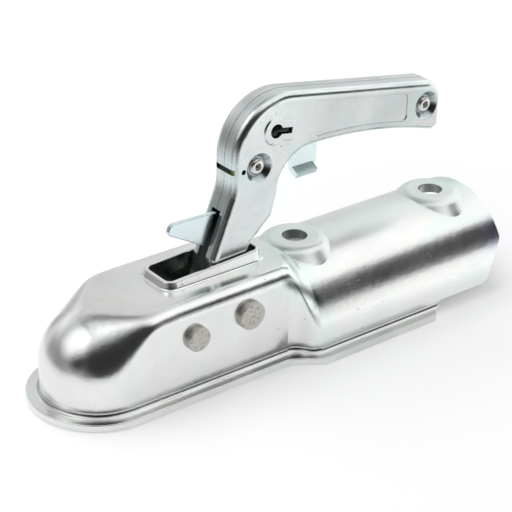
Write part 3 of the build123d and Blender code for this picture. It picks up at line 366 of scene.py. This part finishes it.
def zinc(name, light, dark, tint, rough, marks, seed, layers, rougher=()):
    mat, tree, inputs = principled(name, metallic=1.0)
    skin = Skin(tree, seed)
    place = skin.place

    plate = ramp(tree, skin.cloud, [(0.30, dark), (0.68, light)])
    film = noise(tree, place, 15, detail=2, rough=0.5, distortion=1.2)
    hues = ramp(tree, film, [(0.28, (0.86, 0.97, 1.0)), (0.40, (0.99, 1.0, 0.99)), (0.50, (1.0, 0.94, 0.95)),
                             (0.60, (0.98, 1.0, 0.97)), (0.70, (0.84, 1.0, 0.95)), (0.82, (1.0, 0.99, 0.88))])
    colour = tinted(tree, plate, tint, hues)

    drawn = noise(tree, stretched(tree, place, (60, 700, 700)), 1.0, detail=3, rough=0.6)
    rubs = noise(tree, stretched(tree, place, (90, 1500, 1100), (0.4, 0.3, 0.9)), 1.0, detail=2, rough=0.5)
    rub_patch = rise(tree, noise(tree, place, 34, detail=3, rough=0.6), (0.50, 0.66))
    rub = times(tree, rise(tree, rubs, (0.68, 0.74)), rub_patch)
    specks = noise(tree, place, 520, detail=1, rough=0.4)
    speck_patch = rise(tree, noise(tree, place, 22, detail=2, rough=0.5), (0.52, 0.62))
    speck = times(tree, rise(tree, specks, (0.735, 0.775)), speck_patch)
    colour = covered(tree, colour, times(tree, rub, 0.35 * marks), (0.55, 0.56, 0.58))
    colour = covered(tree, colour, times(tree, speck, 0.75 * marks), (0.16, 0.16, 0.17))
    for layer in layers:
        colour = layer(skin, colour)
    tree.links.new(colour, inputs["Base Color"])

    roughness = spread(tree, skin.cloud, (0.30, 0.70), *rough)
    roughness = plus(tree, roughness, times(tree, drawn, 0.05))
    roughness = plus(tree, roughness, times(tree, rub, 0.30 * marks))
    for more in rougher:
        roughness = plus(tree, roughness, more(skin))
    tree.links.new(roughness, inputs["Roughness"])

    peel = noise(tree, place, 260, detail=3, rough=0.5)
    grain = noise(tree, place, 900, detail=2, rough=0.5)
    waves = noise(tree, stretched(tree, place, (30, 110, 110)), 1.0, detail=2, rough=0.5)
    normal = bump(tree, peel, strength=0.14, distance=0.0004)
    normal = bump(tree, grain, strength=0.10, distance=0.0001, normal=normal)
    normal = bump(tree, waves, strength=0.10, distance=0.0006, normal=normal)
    normal = bump(tree, drawn, strength=0.05, distance=0.0002, normal=normal)
    normal = bump(tree, speck, strength=0.2, distance=0.0002, normal=normal)
    tree.links.new(normal, inputs["Normal"])
    return mat


# Rivets, bushes, springs and the forged clamp: duller steel with a pitted skin

GRAIN_ROUGHER = 0.16
PIT_SHADE = 0.42


def pitted(name, light, dark, rough, pits, seed):
    mat, tree, inputs = principled(name, metallic=1.0)
    place = shifted(tree, coords(tree, "Object"), (seed, seed, seed))
    grain = noise(tree, place, 900, detail=4, rough=0.65)
    pit = rise(tree, noise(tree, place, 620, detail=2, rough=0.55, distortion=0.3), (0.56, 0.66))
    colour = ramp(tree, grain, [(0.32, dark), (0.66, light)])
    colour = covered(tree, colour, times(tree, pit, pits), tuple(v * PIT_SHADE for v in dark))
    tree.links.new(colour, inputs["Base Color"])
    tree.links.new(spread(tree, grain, (0.3, 0.7), rough, rough + GRAIN_ROUGHER), inputs["Roughness"])
    normal = bump(tree, maths(tree, "SUBTRACT", grain, pit), strength=0.25, distance=0.0001)
    tree.links.new(normal, inputs["Normal"])
    return mat


def paint(name, light, dark, shade):
    """Paint that shows at the end of the strip towards -Y; the rest of the strip is coloured near-black as
    painted shade.
    """
    mat, tree, inputs = principled(name, metallic=0.0)
    place = coords(tree, "Object")
    cloud = noise(tree, place, 340, detail=4, rough=0.6)
    colour = ramp(tree, cloud, [(0.3, dark), (0.7, light)])
    shade_reach = plus(tree, split(tree, place)["Y"], times(tree, cloud, INDICATOR_WAVER))
    colour = covered(tree, colour, rise(tree, shade_reach, INDICATOR_EDGE), shade)
    tree.links.new(colour, inputs["Base Color"])
    tree.links.new(spread(tree, cloud, (0.3, 0.7), 0.35, 0.55), inputs["Roughness"])
    tree.links.new(bump(tree, cloud, strength=0.1, distance=0.0002), inputs["Normal"])
    return mat


looks = {
    "zinc_pressing": zinc("zinc_pressing", (0.87, 0.88, 0.87), (0.76, 0.78, 0.77), tint=0.45,
                          rough=(0.14, 0.22), marks=1.0, seed=0.0,
                          layers=(violet_tube_end, dull_tube_top, painted_shade_foot, painted_shade_crease,
                                  painted_shade_inside_pressing),
                          rougher=(matt_tube_top, matt_brim)),
    "zinc_handle": zinc("zinc_handle", (0.80, 0.84, 0.84), (0.62, 0.67, 0.67), tint=0.55,
                        rough=(0.12, 0.20), marks=0.8, seed=3.1,
                        layers=(painted_shade_grip, rolled_lines, painted_shade_dishes, painted_shade_inside_handle)),
    "zinc_latch": zinc("zinc_latch", (0.84, 0.94, 0.96), (0.70, 0.83, 0.85), tint=0.70,
                       rough=(0.16, 0.24), marks=0.6, seed=5.7, layers=(painted_shade_hidden_latch,)),
    "zinc_rivet": pitted("zinc_rivet", (0.80, 0.79, 0.76), (0.62, 0.61, 0.58),
                         rough=0.16, pits=0.35, seed=1.0),
    "rivet_steel": pitted("rivet_steel", (0.66, 0.64, 0.60), (0.50, 0.48, 0.45),
                          rough=0.42, pits=0.55, seed=2.0),
    "bush_steel": pitted("bush_steel", (0.50, 0.50, 0.50), (0.36, 0.36, 0.36),
                         rough=0.32, pits=0.3, seed=4.0),
    "spring_steel": pitted("spring_steel", (0.34, 0.34, 0.35), (0.20, 0.20, 0.21),
                           rough=0.30, pits=0.4, seed=6.0),
    "forged_steel": pitted("forged_steel", (0.38, 0.39, 0.38), (0.24, 0.25, 0.25),
                           rough=0.42, pits=0.7, seed=8.0),
    "indicator_paint": paint("indicator_paint", (0.62, 0.76, 0.12), (0.40, 0.56, 0.06),
                             shade=(0.03, 0.035, 0.025)),
}
for piece in nodes.values():
    slot = piece.data.materials[0].name.split(".")[0]
    piece.data.materials.clear()
    piece.data.materials.append(looks[slot])


# Helpers for the surroundings

WHITE = (1, 1, 1, 1)


def add_object(name, data):
    obj = bpy.data.objects.new(name, data)
    scene.collection.objects.link(obj)
    return obj


def heading(azimuth, elevation):
    """Unit vector towards an azimuth and elevation in radians, counted as a view's are."""
    return Vector((sin(azimuth) * cos(elevation), -cos(azimuth) * cos(elevation), sin(elevation)))


def seen_rays(tree, path):
    """1 for rays that end in the picture, straight, by reflection or through glass, and 0 for light."""
    seen = maths(tree, "MAXIMUM", path["Is Camera Ray"], path["Is Glossy Ray"])
    return maths(tree, "MAXIMUM", seen, path["Is Transmission Ray"])


def emission(tree, strength):
    node = add_node(tree, "ShaderNodeEmission")
    node.inputs["Color"].default_value = WHITE
    tree.links.new(strength, node.inputs["Strength"])
    return node.outputs[0]


def background(tree, colour, strength):
    node = add_node(tree, "ShaderNodeBackground")
    node.inputs["Color"].default_value = colour
    node.inputs["Strength"].default_value = strength
    return node.outputs[0]


def mix_shaders(tree, share, first, second):
    node = add_node(tree, "ShaderNodeMixShader")
    for socket, value in zip(node.inputs, (share, first, second)):
        tree.links.new(value, socket)
    return node.outputs[0]


# Floor: a white sheet under the part

FLOOR_REACH = 6.0
FLOOR_DROP = 0.0003  # below the part's lowest face
FLOOR_COLOUR = (0.86, 0.86, 0.86, 1)
SHEET_MIDDLE = (0.03, 0)
SHEET_FADE = (0.10, 0.30)  # how far from its middle the sheet fades out of reflections
GLOW_SPAN = (0.25, 2.5)  # how far from its middle the sheet's own light grows, so that it stays white
GLOW_NEAR = 0.22
GLOW_FAR = 0.60


def floor_white(level):
    mat, tree, out = new_material("floor_white")
    away = distance_to(tree, coords(tree, "Object"), (*SHEET_MIDDLE, level))
    path = add_node(tree, "ShaderNodeLightPath").outputs
    base = add_node(tree, "ShaderNodeBsdfDiffuse")
    base.inputs["Color"].default_value = FLOOR_COLOUR
    glow = times(tree, seen_rays(tree, path), spread(tree, away, GLOW_SPAN, GLOW_NEAR, GLOW_FAR))
    sheet = add_node(tree, "ShaderNodeAddShader")
    tree.links.new(base.outputs[0], sheet.inputs[0])
    tree.links.new(emission(tree, glow), sheet.inputs[1])
    gone = add_node(tree, "ShaderNodeBsdfTransparent")
    faded = times(tree, path["Is Glossy Ray"], rise(tree, away, SHEET_FADE))
    tree.links.new(mix_shaders(tree, faded, sheet.outputs[0], gone.outputs[0]), out.inputs["Surface"])
    return mat


level = cad_box[0][2] - FLOOR_DROP
corners = ((-1, -1), (1, -1), (1, 1), (-1, 1))
floor_mesh = bpy.data.meshes.new("floor")
floor_mesh.from_pydata([(x * FLOOR_REACH, y * FLOOR_REACH, level) for x, y in corners], [], [(0, 1, 2, 3)])
floor_mesh.materials.append(floor_white(level))
floor = add_object("floor", floor_mesh)


# A photographer's tent round the scene, seen only in reflections: white cloth with soft darker
# regions, where it opens or lies in shade, and one brighter region

TENT_RADIUS = 3.0
TENT_TURNS = 48
TENT_RINGS = 20
TENT_FOOT = radians(-50)
TENT_WHITE = 1.23
TENT_DARKEST = 0.03
# Azimuth, elevation, outer and inner angle of the fade, and change of light of each region
TENT_REGIONS = (
    (-25, 22, 30, 22, -0.76),
    (-41, 21, 56, 1, -1.19),
    (46, 25, 18, 8, -1.19),
    (12, 14, 29, 13, -1.09),
    (-165, -2, 35, 1, -0.52),
    (-112, 15, 51, 1, -0.94),
    (-179, 66, 48, 1, -0.62),
    (152, 5, 39, 17, -0.46),
    (0, -90, 80, 66, -0.25),
    (-177, 66, 16, 2, -0.29),
    (-101, 45, 35, 2, 0.88),
    (60, 28, 11, 4, -0.50),
)


def tent_shape():
    points = []
    faces = []
    for ring in range(TENT_RINGS):
        elevation = TENT_FOOT + (pi / 2 - TENT_FOOT) * ring / TENT_RINGS
        for step in range(TENT_TURNS):
            points.append(TENT_RADIUS * heading(2 * pi * step / TENT_TURNS, elevation))
    points.append((0, 0, TENT_RADIUS))
    for ring in range(TENT_RINGS):
        for step in range(TENT_TURNS):
            a = ring * TENT_TURNS + step
            b = ring * TENT_TURNS + (step + 1) % TENT_TURNS
            if ring == TENT_RINGS - 1:
                faces.append((a, b, len(points) - 1))
            else:
                faces.append((a, b, b + TENT_TURNS, a + TENT_TURNS))
    mesh = bpy.data.meshes.new("tent")
    mesh.from_pydata(points, [], faces)
    mesh.polygons.foreach_set("use_smooth", [True] * len(mesh.polygons))
    return mesh


def tent_cloth():
    mat, tree, out = new_material("tent_cloth")
    unit = add_node(tree, "ShaderNodeVectorMath", operation="NORMALIZE")
    tree.links.new(coords(tree, "Object"), unit.inputs[0])
    light = TENT_WHITE
    for azimuth, elevation, outer, inner, change in TENT_REGIONS:
        near = add_node(tree, "ShaderNodeVectorMath", operation="DOT_PRODUCT")
        tree.links.new(unit.outputs["Vector"], near.inputs[0])
        near.inputs[1].default_value = heading(radians(azimuth), radians(elevation))
        region = add_node(tree, "ShaderNodeMapRange", interpolation_type="SMOOTHSTEP")
        region.inputs["From Min"].default_value = cos(radians(outer))
        region.inputs["From Max"].default_value = cos(radians(inner))
        region.inputs["To Min"].default_value = 0.0
        region.inputs["To Max"].default_value = change
        tree.links.new(near.outputs["Value"], region.inputs["Value"])
        light = plus(tree, light, region.outputs["Result"])
    light = maths(tree, "MAXIMUM", light, TENT_DARKEST)
    tree.links.new(emission(tree, light), out.inputs["Surface"])
    return mat


tent_mesh = tent_shape()
tent_mesh.materials.append(tent_cloth())
tent = add_object("tent", tent_mesh)
tent.location = (0, 0, level)
tent.visible_camera = False
tent.visible_diffuse = False
tent.visible_shadow = False
tent.visible_transmission = False


# World and lamps

FILL_COLOUR = (0.97, 0.98, 1.0, 1)
FILL_STRENGTH = 0.52
LAMP_TARGET = (0.09, 0, 0.03)
# Name, place, width and power of each softbox
SOFTBOXES = (
    ("key", (-0.1, 0.5, 1.4), 1.3, 11),
    ("side", (-1.0, -0.9, 0.9), 0.8, 3),
)

world = bpy.data.worlds.new("studio")
scene.world = world
world.use_nodes = True
tree = world.node_tree
tree.nodes.clear()
out = add_node(tree, "ShaderNodeOutputWorld")
path = add_node(tree, "ShaderNodeLightPath").outputs
fill = background(tree, FILL_COLOUR, FILL_STRENGTH)
white = background(tree, WHITE, 1.0)
tree.links.new(mix_shaders(tree, seen_rays(tree, path), fill, white), out.inputs["Surface"])

for name, place, width, watts in SOFTBOXES:
    data = bpy.data.lights.new(name, "AREA")
    data.shape = "RECTANGLE"
    data.size = width
    data.size_y = width
    data.energy = watts
    lamp = add_object(name, data)
    lamp.location = place
    lamp.rotation_euler = (Vector(LAMP_TARGET) - Vector(place)).to_track_quat("-Z", "Y").to_euler()
    lamp.visible_glossy = False


# Camera, at the photo's angle

AZIMUTH = radians(-38.2)
ELEVATION = radians(27.77)
ROLL = radians(1.12)
EYE = (-0.3592, -0.5753, 0.4299)
SENSOR_WIDTH = 36
FOCAL_SHARE = 1663.6 / 512  # focal length as a share of the picture's width

back = heading(AZIMUTH, ELEVATION)
right = Vector((cos(AZIMUTH), sin(AZIMUTH), 0))
up = back.cross(right)
across = right * cos(ROLL) + up * sin(ROLL)
upward = up * cos(ROLL) - right * sin(ROLL)
lens = bpy.data.cameras.new("camera")
lens.sensor_width = SENSOR_WIDTH
lens.lens = SENSOR_WIDTH * FOCAL_SHARE
lens.clip_start = 0.01
lens.clip_end = 50
camera = add_object("camera", lens)
camera.matrix_world = Matrix.Translation(EYE) @ Matrix((across, upward, back)).transposed().to_4x4()
scene.camera = camera

scene.view_settings.view_transform = "Standard"
